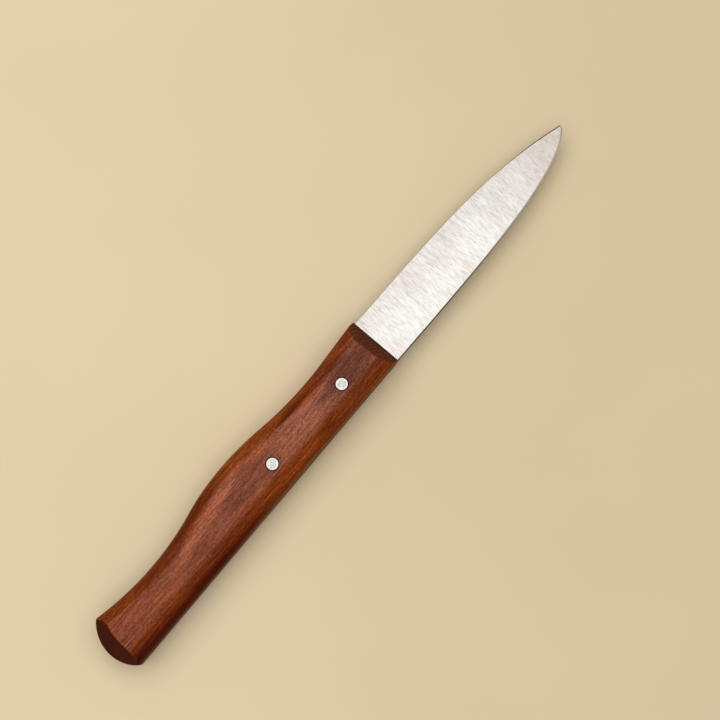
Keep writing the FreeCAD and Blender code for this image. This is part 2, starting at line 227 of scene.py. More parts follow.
def bumped(tree, height, depth_mm, strength, below=None):
    """A normal with the height drawn in, on top of that of coarser marks where there is one."""
    inputs = {"Height": height, "Distance": depth_mm * MM, "Strength": strength}
    if below:
        inputs["Normal"] = below
    return add_node(tree, "ShaderNodeBump", inputs).outputs["Normal"]


# %% [markdown]
# ## Floor and light
# The knife lies on a plain pale beige board. One wide soft lamp hangs over it on the spine's side,
# as a studio softbox would, and a dim even world fills the shadows. Small bright lamps would also
# light it, but a satin blade mirrors what is above it, and only a wide soft surface gives it an
# even pale sheen.

# %% Floor
FLOOR_SIZE = 3.0
FLOOR_CELLS = 4
FLOOR_GAP = 0.02 * MM

floor_mesh = bmesh.new()
bmesh.ops.create_grid(
    floor_mesh, x_segments=FLOOR_CELLS, y_segments=FLOOR_CELLS, size=FLOOR_SIZE / 2
)
bmesh.ops.translate(floor_mesh, verts=floor_mesh.verts, vec=(0, 0, cad_box[0][2] - FLOOR_GAP))
floor_data = bpy.data.meshes.new("floor")
floor_mesh.to_mesh(floor_data)
floor_mesh.free()
floor = bpy.data.objects.new("floor", floor_data)
bpy.context.scene.collection.objects.link(floor)
print("floor at z =", round(cad_box[0][2] / MM, 3), "mm")

# %% Floor paint
FLOOR_PALE = (0.705, 0.588, 0.393)
FLOOR_SHADED = (0.630, 0.520, 0.342)
FLOOR_SHADE_REACH = 0.11
FLOOR_CLOUDS = (0.012, 0.012, 0.012)
FLOOR_CLOUD_SHARE = 0.15
FLOOR_TOOTH = (1.5, 1.5, 1.5)

floor_paint, tree, shader = new_material("pale_board")
# The board is painted darker towards the picture's right: painted shade, a falloff of the light
# across it. Noise clouds add a little random tone.
rightward = add_node(
    tree, "ShaderNodeVectorMath", {0: object_place(tree), 1: picture_right}, operation="DOT_PRODUCT"
).outputs["Value"]
shade = between(tree, rightward, -FLOOR_SHADE_REACH, FLOOR_SHADE_REACH)
clouds = stretched_noise(tree, FLOOR_CLOUDS, detail=3)
cloud_shade = between(tree, clouds, *NOISE_RANGE, -FLOOR_CLOUD_SHARE, FLOOR_CLOUD_SHARE)
shade = combined(tree, "ADD", shade, cloud_shade)
tooth = stretched_noise(tree, FLOOR_TOOTH, detail=4, roughness=0.6)
floor_inputs = {
    "Base Color": mixed(tree, shade, FLOOR_PALE, FLOOR_SHADED),
    "Roughness": 0.75,
    "Specular IOR Level": 0.2,
    "Normal": bumped(tree, tooth, depth_mm=0.05, strength=0.15),
}
finish_material(floor_paint, shader, floor_inputs)
floor_data.materials.append(floor_paint)

# %% Lamp and world
LAMP_SIDE = 2.0
LAMP_HEIGHT = 1.2
LAMP_TO_SPINE = 0.2
LAMP_BRIGHTNESS = 1.58
LAMP_COLOUR = (1.0, 0.985, 0.96)
WORLD_BRIGHTNESS = 0.36
WORLD_COLOUR = (1.0, 0.98, 0.95)

lamp_data = bpy.data.lights.new("softbox", "AREA")
lamp_data.shape = "SQUARE"
lamp_data.size = LAMP_SIDE
lamp_data.energy = LAMP_BRIGHTNESS * math.pi * LAMP_SIDE**2
lamp_data.color = LAMP_COLOUR
lamp = bpy.data.objects.new("softbox", lamp_data)
lamp.location = (0, LAMP_TO_SPINE, LAMP_HEIGHT)
bpy.context.scene.collection.objects.link(lamp)

world = bpy.data.worlds.new("studio")
world.use_nodes = True
background = world.node_tree.nodes["Background"]
background.inputs["Color"].default_value = opaque(WORLD_COLOUR)
background.inputs["Strength"].default_value = WORLD_BRIGHTNESS
bpy.context.scene.world = world
bpy.context.scene.view_settings.view_transform = "Standard"
print("softbox of", LAMP_SIDE, "m at", LAMP_HEIGHT, "m")

# %% [markdown]
# ## Helpers for pieces
# Handle and blade are both long forms whose cross-section changes along x. A tube with many rings
# suits them: a cylinder's long edges are subdivided, and every vertex then moves to its own place
# on the cross-section at its ring. Slots and holes are cut afterwards with exact Booleans, as a saw
# and a drill would cut them.

# %% Tubes and turned forms
TUBE_WELD = 0.002 * MM
WELD = 0.001 * MM
TURN_STEPS = 64


def tube(stations, sides, section):
    """A closed tube whose ring at each station x follows section(x, side), which gives y and z."""
    form = bmesh.new()
    bmesh.ops.create_cone(form, cap_ends=True, segments=sides, radius1=1, radius2=1, depth=1)
    lengthwise = [edge for edge in form.edges if abs(edge.verts[0].co.z - edge.verts[1].co.z) > 0.5]
    bmesh.ops.subdivide_edges(form, edges=lengthwise, cuts=len(stations) - 2, use_grid_fill=True)
    for vertex in form.verts:
        ring = round((vertex.co.z + 0.5) * (len(stations) - 1))
        side = round(math.atan2(vertex.co.y, vertex.co.x) / math.tau * sides) % sides
        y, z = section(stations[ring], side)
        vertex.co = at(stations[ring], y, z)
    bmesh.ops.remove_doubles(form, verts=form.verts, dist=TUBE_WELD)
    bmesh.ops.dissolve_degenerate(form, edges=form.edges, dist=WELD)
    bmesh.ops.recalc_face_normals(form, faces=form.faces)
    return form


def turned(profile, place):
    """A solid turned about an upright axis at place, from radii and heights in millimetres."""
    form = bmesh.new()
    places = [place + Vector((radius, 0, height)) * MM for radius, height in profile]
    points = [form.verts.new(point) for point in places]
    line = [form.edges.new(pair) for pair in zip(points, points[1:])]
    bmesh.ops.spin(
        form,
        geom=points + line,
        cent=place,
        axis=(0, 0, 1),
        angle=math.tau,
        steps=TURN_STEPS,
        use_merge=True,
    )
    bmesh.ops.remove_doubles(form, verts=form.verts, dist=WELD)
    bmesh.ops.recalc_face_normals(form, faces=form.faces)
    return form


# %% Cuts and finished pieces
def as_object(name, form):
    """An object at the origin from a finished bmesh."""
    data = bpy.data.meshes.new(name)
    form.to_mesh(data)
    form.free()
    made = bpy.data.objects.new(name, data)
    bpy.context.scene.collection.objects.link(made)
    return made


def cut_or_join(piece, form, operation):
    """Cut a form out of the piece, or join it on, and keep the result as the piece's own mesh."""
    tool = as_object("tool", form)
    modifier = piece.modifiers.new("tool", "BOOLEAN")
    modifier.operation = operation
    modifier.solver = "EXACT"
    modifier.object = tool
    graph = bpy.context.evaluated_depsgraph_get()
    result = bpy.data.meshes.new_from_object(piece.evaluated_get(graph))
    piece.modifiers.remove(modifier)
    before = piece.data
    piece.data = result
    result.name = piece.name
    bpy.data.meshes.remove(before)
    bpy.data.meshes.remove(tool.data)


def finish_piece(piece, node, material, crease):
    """Shade a piece, give it its material and put it in its node's place."""
    piece.data.shade_smooth()
    piece.data.set_sharp_from_angle(angle=math.radians(crease))
    piece.data.materials.clear()
    piece.data.materials.append(material)
    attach(piece, "root")
    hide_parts(node)
    triangles = sum(len(face.vertices) - 2 for face in piece.data.polygons)
    print(piece.name, "has", triangles, "triangles")


# %% [markdown]
# ## The handle's outline
# Seen from the side, the handle's back falls from the front to a waist, swells to a hump, dips and
# flares to the butt, all in arcs that touch without a kink. A free curve through many points would
# be harder to keep smooth. Two level points can be joined by two arcs that meet on the straight
# line between them, so the whole back needs only its level points. The belly is one straight line,
# and the butt is an arc.

# %% Back, belly and butt
FRONT_TURN = (-14.5, 109.8)
WAIST = (-22.5, 14.79)
HUMP = (-53.5, HUMP_HEIGHT)
DIP = (-86.5, 13.65)
HUMP_SHARE = 0.47
FLARE_RADIUS = 88.0
HANDLE_LENGTH = 111.0
BELLY_DROP = 1.4
BUTT_MIDDLE = (-99.85, 6.55)
BUTT_RADIUS = 10.9


def arc_rise(run, radius):
    """How far an arc has left its level point after a run."""
    return radius - math.sqrt(radius**2 - run**2)


def double_arc(x, low, high):
    """Height at x on the two touching arcs from the low level point to the high one."""
    run = high[0] - low[0]
    climb = high[1] - low[1]
    reach = (run**2 + climb**2) / (2 * climb)
    if (x - low[0]) / run < 1 - HUMP_SHARE:
        return low[1] + arc_rise(x - low[0], (1 - HUMP_SHARE) * reach)
    return high[1] - arc_rise(x - high[0], HUMP_SHARE * reach)


def back_line(x):
    """Height of the handle's back at x."""
    turn_x, turn_radius = FRONT_TURN
    if x > turn_x:
        run = turn_x - WAIST[0]
        slope = run / math.sqrt(turn_radius**2 - run**2)
        return WAIST[1] + arc_rise(run, turn_radius) + slope * (x - turn_x)
    if x > WAIST[0]:
        return WAIST[1] + arc_rise(x - WAIST[0], turn_radius)
    if x > HUMP[0]:
        return double_arc(x, WAIST, HUMP)
    if x > DIP[0]:
        return double_arc(x, DIP, HUMP)
    return DIP[1] + arc_rise(x - DIP[0], FLARE_RADIUS)


def belly_line(x):
    """Height of the handle's belly at x."""
    return BELLY_DROP * x / HANDLE_LENGTH


print("handle's back at its front:", round(back_line(0), 2), "mm")

# %% [markdown]
# ## The handle's cross-section
# Across the grain the handle is a rectangle with worked corners, which reach further down its sides
# than across its thickness. At the front they are slightly flattened, and towards the butt they run
# out into full rounds, widest along the belly. A power of sine and cosine gives both: an exponent
# of 1 draws a round, and a larger one draws it towards a chamfer. This keeps one formula for the
# whole length, where a swept profile would need a second one.

# %% Cross-section
# Each corner is its reach down the side, its reach across the thickness, and its exponent.
HALF_THICKNESS = 6.0
FRONT_CORNERS = {"back": (5.1, 2.8, 1.15), "belly": (5.6, 3.4, 1.2)}
REAR_CORNERS = {"back": (4.6, 4.0, 1.0), "belly": (6.6, 4.6, 1.0)}
CORNER_CHANGE = (-8.0, -60.0)
CORNER_STEPS = 14
SIDE_STEPS = 16
BACK_STEPS = 4

ring_places = []
for quarter in range(4):
    for step in range(CORNER_STEPS):
        ring_places.append((quarter, step / CORNER_STEPS, 0))
    flat_steps = (SIDE_STEPS, BACK_STEPS)[quarter % 2]
    for step in range(flat_steps):
        ring_places.append((quarter, 1, step / flat_steps))


def signed_power(value, exponent):
    """A power that keeps the sign of its base."""
    return math.copysign(abs(value) ** exponent, value)


def between_ends(front, rear, share):
    """A value on the way from the front's to the rear's."""
    return front + (rear - front) * share


def worked_corner(quarter, turn, half_height, share):
    """A point on one corner of the section, from its middle, at a share of the corner's turn."""
    at_back = quarter in (0, 3)
    corner_name = "back" if at_back else "belly"
    pairs = zip(FRONT_CORNERS[corner_name], REAR_CORNERS[corner_name])
    reach_y, reach_z, exponent = [between_ends(front, rear, share) for front, rear in pairs]
    angle = (quarter + turn) * math.pi / 2
    lift = signed_power(math.cos(angle), exponent)
    spread = signed_power(math.sin(angle), exponent)
    over = 1 if at_back else -1
    aside = 1 if quarter < 2 else -1
    y = over * (half_height - reach_y) + reach_y * lift
    z = aside * (HALF_THICKNESS - reach_z) + reach_z * spread
    return y, z


print("handle ring of", len(ring_places), "vertices")

# %% [markdown]
# ## The handle's ends
# Both ends are planed to a blunt wedge on each side, which leaves a facet, deeper at the back than
# at the belly. A facet is a limit on the thickness that falls towards the end. At the front the end
# is straight with slightly rounded corners; at the butt it is the arc, and the facet follows a
# flatter arc, so that it narrows towards its two corners. A smooth minimum keeps the rims soft, as
# sanding does.

# %% End facets
FRONT_SETBACK = 0.09
FRONT_EASE = 0.3
FRONT_MIDDLE = 7.7
FRONT_BEVEL = 3.75
FRONT_LAND = 2.4
FRONT_DEEPENING = 0.045
BUTT_BEVEL = 5.05
BUTT_LAND = 2.0
BUTT_DEEPENING = 0.12
BUTT_FACET_FOOT = (-111.0, 7.1)
BUTT_FACET_RADIUS = 18.0


def facet_limit(x, y):
    """Half the thickness that the two end facets leave at a point of the side view."""
    front_rise = HALF_THICKNESS - FRONT_LAND / 2
    front_bevel = FRONT_BEVEL + FRONT_DEEPENING * (y - FRONT_MIDDLE)
    front = FRONT_LAND / 2 + (-FRONT_SETBACK - x) * front_rise / front_bevel
    over_foot = y - BUTT_FACET_FOOT[1]
    butt_foot = BUTT_FACET_FOOT[0] + arc_rise(over_foot, BUTT_FACET_RADIUS)
    butt_rise = HALF_THICKNESS - BUTT_LAND / 2
    butt_bevel = BUTT_BEVEL + BUTT_DEEPENING * over_foot
    butt = BUTT_LAND / 2 + max(x - butt_foot, 0) * butt_rise / butt_bevel
    return min(front, butt)


print("front facet", FRONT_BEVEL, "mm deep, butt facet", BUTT_BEVEL, "mm deep")

# %% The whole section of the handle
RIM_SOFTNESS = 0.25


def soft_minimum(first, second, softness):
    """The smaller of two values, eased where they are close."""
    overlap = max(softness - abs(first - second), 0) / softness
    return min(first, second) - overlap**2 * softness / 4


def handle_section(x, side):
    """The place across the handle of one vertex of the ring at x."""
    eased = max(FRONT_EASE + FRONT_SETBACK + x, 0)
    taken = arc_rise(min(eased, FRONT_EASE), FRONT_EASE)
    back = back_line(x) - taken
    belly = belly_line(x) + taken
    share = (x - CORNER_CHANGE[0]) / (CORNER_CHANGE[1] - CORNER_CHANGE[0])
    share = min(max(share, 0), 1)
    half_height = (back - belly) / 2
    quarter, turn, along_flat = ring_places[side]
    y, z = worked_corner(quarter, turn, half_height, share)
    if along_flat:
        next_y, next_z = worked_corner((quarter + 1) % 4, 0, half_height, share)
        y += along_flat * (next_y - y)
        z += along_flat * (next_z - z)
    y += (back + belly) / 2
    past_middle = BUTT_MIDDLE[0] - x
    if past_middle > 0:
        reach = math.sqrt(max(BUTT_RADIUS**2 - past_middle**2, 0))
        y = min(max(y, BUTT_MIDDLE[1] - reach), BUTT_MIDDLE[1] + reach)
    kept = soft_minimum(abs(z), facet_limit(x, y), RIM_SOFTNESS)
    return y, math.copysign(kept, z)


print("handle's back at its hump:", round(handle_section(HUMP[0], 0)[0], 2), "mm")

# %% [markdown]
# ## Tang and pins as cutting forms
# The tang is a flat plate with a round back end. The same side view, a little larger, is the saw
# slot in the wood, so one function makes both the plate and the form that cuts its slot. A pin goes
# through a straight hole in the steel and through a hole with flared seats in the wood. Both are
# turned forms, as the pin is, and a little wider.

# %% Tang plate and slot
STEEL_THICKNESS = 1.5
TANG_TOP = 12.4
TANG_ROUND_START = -38.0
TANG_END_RADIUS = 20.0
TANG_COLUMNS = 60
SEARCH_STEP = 0.01


def tang_top(x, end_radius):
    """Height of the upper side of a tang whose back end has this radius."""
    top = TANG_TOP - TANG_END_RADIUS + end_radius
    if x < TANG_ROUND_START:
        top -= arc_rise(x - TANG_ROUND_START, end_radius)
    return top


def tang_back_end(end_radius):
    """Where a round back end of this radius meets the belly."""
    back = TANG_ROUND_START
    while tang_top(back, end_radius) > belly_line(back):
        back -= SEARCH_STEP
    return back


def tang_plate(front, gap, overcut):
    """The tang's plate, or the slot that clears it by gap; both pass the belly by overcut."""
    end_radius = TANG_END_RADIUS + gap
    back = tang_back_end(end_radius)
    form = bmesh.new()
    bmesh.ops.create_grid(form, x_segments=TANG_COLUMNS, y_segments=1, size=0.5)
    for vertex in form.verts:
        x = back + (vertex.co.x + 0.5) * (front - back)
        y = tang_top(x, end_radius) if vertex.co.y > 0 else belly_line(x) - overcut
        vertex.co = at(x, y, -STEEL_THICKNESS / 2 - gap)
    walls = bmesh.ops.extrude_face_region(form, geom=form.faces[:])
    upper = [item for item in walls["geom"] if isinstance(item, bmesh.types.BMVert)]
    bmesh.ops.translate(form, verts=upper, vec=(0, 0, (STEEL_THICKNESS + 2 * gap) * MM))
    bmesh.ops.remove_doubles(form, verts=form.verts, dist=WELD)
    bmesh.ops.recalc_face_normals(form, faces=form.faces)
    return form


print("tang ends at x =", round(tang_back_end(TANG_END_RADIUS), 2), "mm")

# %% Pin holes and seats
PIN_PLACES = {"front_rivet": (-15.4, 6.75), "rear_rivet": (-43.9, 6.75)}
PIN_RADIUS = 1.5
PIN_SEAT_RADIUS = 1.78
PIN_HEAD_DEPTH = 0.6
PIN_CLEARANCE = 0.03
BORE_REACH = 8

bore_radius = PIN_RADIUS + PIN_CLEARANCE
neck_height = HALF_THICKNESS - PIN_HEAD_DEPTH


def both_ways(profile):
    """A profile followed by its mirror image below the middle."""
    return profile + [(radius, -height) for radius, height in reversed(profile)]


def pin_hole(name):
    """The form that bores a straight hole for a pin's shank."""
    bore = [(0, -BORE_REACH), (bore_radius, -BORE_REACH)]
    return turned(both_ways(bore), at(*PIN_PLACES[name], 0))


def pin_seat(name):
    """The form that bores a pin's hole in the wood with a flared seat at each side."""
    seat = [
        (0, -BORE_REACH),
        (PIN_SEAT_RADIUS, -BORE_REACH),
        (PIN_SEAT_RADIUS, -HALF_THICKNESS),
        (bore_radius, -neck_height),
    ]
    return turned(both_ways(seat), at(*PIN_PLACES[name], 0))


print("pin holes of radius", bore_radius, "mm")

# %% [markdown]
# ## The wood
# Fruit wood such as plum is reddish brown with fine pores and long soft streaks. All its marks run
# lengthwise, so each layer is noise stretched along x. The layers go on from coarse to fine: wide
# bands of colour, stains, veins with painted sheen and shade, the dust and painted sheen of the
# flats, painted shade and reflection on the belly, and then streaks, flecks and pores.
# An unwrapped skin could be painted instead, but noise fills space, so the grain runs on through
# the planed ends.

# %% Wood: bands of colour
WOOD_DEEP = (0.135, 0.0225, 0.0026)
WOOD_WARM = (0.255, 0.050, 0.0070)
BAND_MARKS = (0.014, 0.30, 0.30)

wood, tree, shader = new_material("oiled_fruit_wood")
bands = stretched_noise(tree, BAND_MARKS, detail=3, roughness=0.55)
colour = mixed(tree, between(tree, bands, *NOISE_RANGE), WOOD_DEEP, WOOD_WARM)
print("bands about", round(1 / BAND_MARKS[1], 1), "mm wide")

# %% [markdown]
# A purplish stain spreads in the wood round the pins and behind them. Like every larger mark below
# it is made of long patches with wavy edges: the distance from a patch's middle, counted in its own
# reach, plus a little noise.

# %% Wood: patches and stain
WOOD_STAIN = (0.098, 0.0255, 0.0135)
STAINS = [
    {"middle": (-10.5, 8.2), "reach": (16.5, 7.0), "share": 0.92},
    {"middle": (-51.0, 8.5), "reach": (13.0, 6.0), "share": 0.55},
    {"middle": (-70.0, 6.0), "reach": (18.0, 4.0), "share": 0.40},
]
STAIN_RIM = (1.15, 0.35)
WAVE_MARKS = (0.08, 0.35, 0.35)
WAVE_RAMP = (0.2, 0.8, -0.4, 0.4)
FAR = 1000.0


def scaled_distance(tree, middle, scale, turn=(0, 0, 0)):
    """How far a place lies from a middle, with each axis counted in its own scale."""
    inputs = {"Vector": object_place(tree), "Location": middle, "Rotation": turn, "Scale": scale}
    offset = add_node(tree, "ShaderNodeMapping", inputs, vector_type="TEXTURE").outputs["Vector"]
    return add_node(tree, "ShaderNodeVectorMath", {0: offset}, operation="LENGTH").outputs["Value"]


def distance_from(tree, middle, reach, turn=0):
    """Distance from an upright axis, in shares of a reach along and across a turned line."""
    scale = (reach[0] * MM, reach[1] * MM, FAR)
    return scaled_distance(tree, at(*middle, 0), scale, (0, 0, math.radians(turn)))


def patch_share(tree, patch, rim, waves):
    """How much a wavy-edged patch covers a place; the cover grows along its rim."""
    away = distance_from(tree, patch["middle"], patch["reach"], patch.get("turn", 0))
    return between(tree, combined(tree, "ADD", away, waves), *rim, 0.0, patch["share"])


waves = between(tree, stretched_noise(tree, WAVE_MARKS, detail=4, roughness=0.6), *WAVE_RAMP)
stained = 0.0
for stain in STAINS:
    stain_share = patch_share(tree, stain, STAIN_RIM, waves)
    colour = mixed(tree, stain_share, colour, WOOD_STAIN)
    stained = combined(tree, "MAXIMUM", stained, stain_share)
print("stained patches:", len(STAINS))

# %% [markdown]
# The worked corners, which use has polished, show the year lines, some dark and some golden. A
# golden patch along the hump is painted sheen, where its rounding faces the light. Dark veins run
# through the wood, and one pale streak below the hump has a silky look. The last two dark patches
# darken the butt towards its belly; the larger one is painted shade.

# %% Wood: corners, veins and silky streak
CORNER_DARK = (0.085, 0.0125, 0.0012)
CORNER_GOLD = (0.330, 0.085, 0.013)
SILK = (0.430, 0.117, 0.055)
FLAT_RAMP = (0.950, 0.997)
YEAR_LINE_MARKS = (0.025, 1.5, 1.5)
DARK_LINE_RAMP = (0.52, 0.66, 0.0, 0.50)
GOLD_LINE_RAMP = (0.48, 0.34, 0.0, 0.30)
VEIN_RIM = (1.2, 0.3)
# Painted sheen on the hump's rounding.
PAINTED_HUMP_SHEEN = {"middle": (-46.0, 16.2), "reach": (17.0, 3.0), "share": 0.35}
VEINS_AND_BUTT_SHADE = [
    {"middle": (-29.0, 12.3), "reach": (20.0, 1.2), "share": 0.95},
    {"middle": (-26.0, 1.8), "reach": (9.0, 0.8), "share": 0.55},
    {"middle": (-5.0, 3.6), "reach": (8.0, 0.8), "share": 0.55},
    {"middle": (-76.0, 12.9), "reach": (22.0, 2.7), "turn": 7.0, "share": 0.65},
    # Painted shade: the rear flat darkens towards the belly at the butt.
    {"middle": (-109.0, 2.0), "reach": (16.0, 9.0), "share": 0.50},
    # Darkens the butt's lower corner.
    {"middle": (-108.5, -0.5), "reach": (6.0, 4.0), "share": 0.55},
]
SILK_STREAK = {"middle": (-65.5, 10.6), "reach": (18.0, 1.7), "turn": 10.8, "share": 0.55}

facing = facing_parts(tree)
flat_share = between(tree, combined(tree, "ABSOLUTE", facing["Z"], 0.0), *FLAT_RAMP)
off_flat = combined(tree, "SUBTRACT", 1.0, flat_share)
year_lines = stretched_noise(tree, YEAR_LINE_MARKS, detail=3, roughness=0.6, shift=(3, 8, 1))
for ramp, line_colour in ((DARK_LINE_RAMP, CORNER_DARK), (GOLD_LINE_RAMP, CORNER_GOLD)):
    line_share = combined(tree, "MULTIPLY", off_flat, between(tree, year_lines, *ramp))
    colour = mixed(tree, line_share, colour, line_colour)
patches = [(PAINTED_HUMP_SHEEN, CORNER_GOLD)]
patches += [(dark_patch, CORNER_DARK) for dark_patch in VEINS_AND_BUTT_SHADE]
patches += [(SILK_STREAK, SILK)]
for patch, patch_colour in patches:
    colour = mixed(tree, patch_share(tree, patch, VEIN_RIM, waves), colour, patch_colour)
print("veins, streak and golden patch:", len(patches))

# %% [markdown]
# The sanded flats are dustier than the corners. Their paler colour is dust and also a painted sheen
# of the light on the flats, most of all between the pins and least on the stain. The rear half of
# the belly is painted darker where it faces down, as painted shade, and its front half is painted
# paler where it faces straight down, as a painted reflection.

# %% Wood: sanded flats and belly
DUST_AND_SHEEN = (0.38, 0.165, 0.118)
DUST_AND_SHEEN_PATCH = ((-30.0, 7.5), (15.0, 9.0))
DUST_AND_SHEEN_PATCH_RAMP = (1.2, 0.3, 0.17, 0.37)
DUST_AND_SHEEN_ON_STAIN_RAMP = (0.5, 1.0, 1.0, 0.45)
BELLY_PAINTED_SHADE = (0.055, 0.0025, 0.0003)
BELLY_PAINTED_REFLECTION = (0.230, 0.072, 0.018)
BELLY_CHANGE = (-35.0, -75.0)
BELLY_SHADE_RAMP = (-0.28, -0.80, 0.0, 0.94)
BELLY_REFLECTION_RAMP = (-0.80, -1.0, 0.0, 0.7)

# Dust and painted sheen on the flats.
dust_and_sheen_patch_share = between(tree, distance_from(tree, *DUST_AND_SHEEN_PATCH), *DUST_AND_SHEEN_PATCH_RAMP)
dust_and_sheen_share = combined(tree, "MULTIPLY", dust_and_sheen_patch_share, between(tree, stained, *DUST_AND_SHEEN_ON_STAIN_RAMP))
colour = mixed(tree, combined(tree, "MULTIPLY", flat_share, dust_and_sheen_share), colour, DUST_AND_SHEEN)

place = place_parts(tree)
front_x, rear_x = [at(x, 0, 0).x for x in BELLY_CHANGE]
rear_share = between(tree, place["X"], front_x, rear_x)
front_share = combined(tree, "SUBTRACT", 1.0, rear_share)
# Painted shade under the rear belly, and a painted reflection under the front belly.
painted_belly_shade = combined(tree, "MULTIPLY", rear_share, between(tree, facing["Y"], *BELLY_SHADE_RAMP))
painted_belly_reflection = combined(tree, "MULTIPLY", front_share, between(tree, facing["Y"], *BELLY_REFLECTION_RAMP))
colour = mixed(tree, painted_belly_shade, colour, BELLY_PAINTED_SHADE)
colour = mixed(tree, painted_belly_reflection, colour, BELLY_PAINTED_REFLECTION)
print("belly changes between x =", *BELLY_CHANGE, "mm")

# %% [markdown]
# Fine streaks and short flecks lighten and darken all of it. Pores are short thin grooves, some
# dark, and some, on the flats, pale where dust from sanding has filled them.

# %% Wood: streaks, flecks and pores
PORE_DARK = (0.050, 0.010, 0.003)
PORE_PALE = (0.44, 0.19, 0.125)
STREAK_MARKS = (0.15, 2.2, 2.2)
STREAK_RAMP = (0.32, 0.68, 0.74, 1.26)
FLECK_MARKS = (1.5, 3.4, 3.4)
FLECK_RAMP = (0.32, 0.68, 0.66, 1.34)
DARK_PORE_MARKS = (0.34, 4.8, 4.8)
DARK_PORE_RAMP = (0.54, 0.68, 0.0, 0.60)
PALE_PORE_MARKS = (0.30, 4.6, 4.6)
PALE_PORE_RAMP = (0.52, 0.70, 0.0, 0.32)

streaks = stretched_noise(tree, STREAK_MARKS, detail=2, roughness=0.6)
flecks = stretched_noise(tree, FLECK_MARKS, detail=2, roughness=0.6, shift=(5, 9, 14))
streak_tone = between(tree, streaks, *STREAK_RAMP)
fleck_tone = between(tree, flecks, *FLECK_RAMP)
tone = combined(tree, "MULTIPLY", streak_tone, fleck_tone)
tones = {"Red": tone, "Green": tone, "Blue": tone}
grey = add_node(tree, "ShaderNodeCombineColor", tones).outputs["Color"]
colour = mixed(tree, 1.0, colour, grey, "MULTIPLY")

dark_pores = stretched_noise(tree, DARK_PORE_MARKS, detail=3, roughness=0.6, shift=(11, 3, 5))
pale_pores = stretched_noise(tree, PALE_PORE_MARKS, detail=3, roughness=0.6, shift=(40, 17, 9))
dark_share = between(tree, dark_pores, *DARK_PORE_RAMP)
pale_share = combined(tree, "MULTIPLY", between(tree, pale_pores, *PALE_PORE_RAMP), flat_share)
colour = mixed(tree, dark_share, colour, PORE_DARK)
colour = mixed(tree, pale_share, colour, PORE_PALE)
print("pores about", round(1 / DARK_PORE_MARKS[0], 1), "mm long")

# %% [markdown]
# Because the noise fills space, the planed ends show the pores as dots. Year rings cross the ends
# as arcs about the tree's pith, which lies outside the handle. Cut ends soak up more oil, so they
# are much darker. The butt is darker than the front, and both ends are darkest along the middle.

# %% Wood: end grain
END_GRAIN = (0.118, 0.0300, 0.0092)
BUTT_GRAIN = (0.048, 0.0044, 0.0008)
END_PORE = (0.022, 0.006, 0.003)
END_DARKEST = (0.010, 0.004, 0.002)
AT_BUTT_RAMP = (0.1, -0.1)
PITH = (-26.0, 17.0)
RINGS_PER_MM = 0.75
RING_RAMP = (0.0, 1.0, 0.0, 0.35)
END_PORE_MARKS = (0.4, 2.6, 2.6)
END_PORE_RAMP = (0.48, 0.66, 0.0, 0.8)
MIDDLE_RAMP = (2.4 * MM, 1.3 * MM, 0.0, 0.5)
END_RAMP = (0.36, 0.56, 0.0, 0.95)

end_colour = mixed(tree, between(tree, facing["X"], *AT_BUTT_RAMP), END_GRAIN, BUTT_GRAIN)
end_colour = mixed(tree, 1.0, end_colour, grey, "MULTIPLY")
from_pith = scaled_distance(tree, at(0, *PITH), (FAR, MM, MM))
ring_count = combined(tree, "ADD", combined(tree, "MULTIPLY", from_pith, RINGS_PER_MM), waves)
ring_wave = combined(tree, "SINE", combined(tree, "MULTIPLY", ring_count, math.tau), 0.0)
end_colour = mixed(tree, between(tree, ring_wave, *RING_RAMP), end_colour, END_PORE)
end_pores = stretched_noise(tree, END_PORE_MARKS, detail=3, roughness=0.6, shift=(7, 21, 2))
end_colour = mixed(tree, between(tree, end_pores, *END_PORE_RAMP), end_colour, END_PORE)
from_middle = combined(tree, "ABSOLUTE", combined(tree, "SUBTRACT", place["Z"], corner.z), 0.0)
end_colour = mixed(tree, between(tree, from_middle, *MIDDLE_RAMP), end_colour, END_DARKEST)
end_share = between(tree, combined(tree, "ABSOLUTE", facing["X"], 0.0), *END_RAMP)
colour = mixed(tree, end_share, colour, end_colour)
print("year rings", round(1 / RINGS_PER_MM, 2), "mm apart")

# %% [markdown]
# A thin dark line of old polish sits in the joint round each pin. The flats are a little duller
# than the corners, streaks stand in slight relief, and dark pores are sunk.

# %% Wood: joint lines and surface
JOINT_LINE = (0.030, 0.010, 0.006)
JOINT_REACH = (2.05, 2.05)
JOINT_RAMP = (1.0, 0.9, 0.0, 0.9)
WOOD_ROUGHNESS = (0.34, 0.46)
FLAT_DULLNESS = 0.10

for pin_place in PIN_PLACES.values():
    from_pin = distance_from(tree, pin_place, JOINT_REACH)
    colour = mixed(tree, between(tree, from_pin, *JOINT_RAMP), colour, JOINT_LINE)
streak_roughness = between(tree, streaks, *NOISE_RANGE, *WOOD_ROUGHNESS)
dullness = combined(tree, "MULTIPLY", flat_share, FLAT_DULLNESS)
grain_relief = bumped(tree, streaks, depth_mm=0.03, strength=0.25)
pore_height = combined(tree, "SUBTRACT", 1.0, dark_share)
wood_inputs = {
    "Base Color": colour,
    "Roughness": combined(tree, "ADD", streak_roughness, dullness),
    "Normal": bumped(tree, pore_height, depth_mm=0.03, strength=0.35, below=grain_relief),
    "Specular IOR Level": 0.04,
}
finish_material(wood, shader, wood_inputs)

# %% [markdown]
# ## The handle
# Rings stand close together at both ends, where the facets are, and wider along the body. Even
# rings would do too, but it would take far more of them to keep the facets crisp. The butt's rings
# follow its arc in equal angles. The tube gets its slot and pin holes, and the wood.

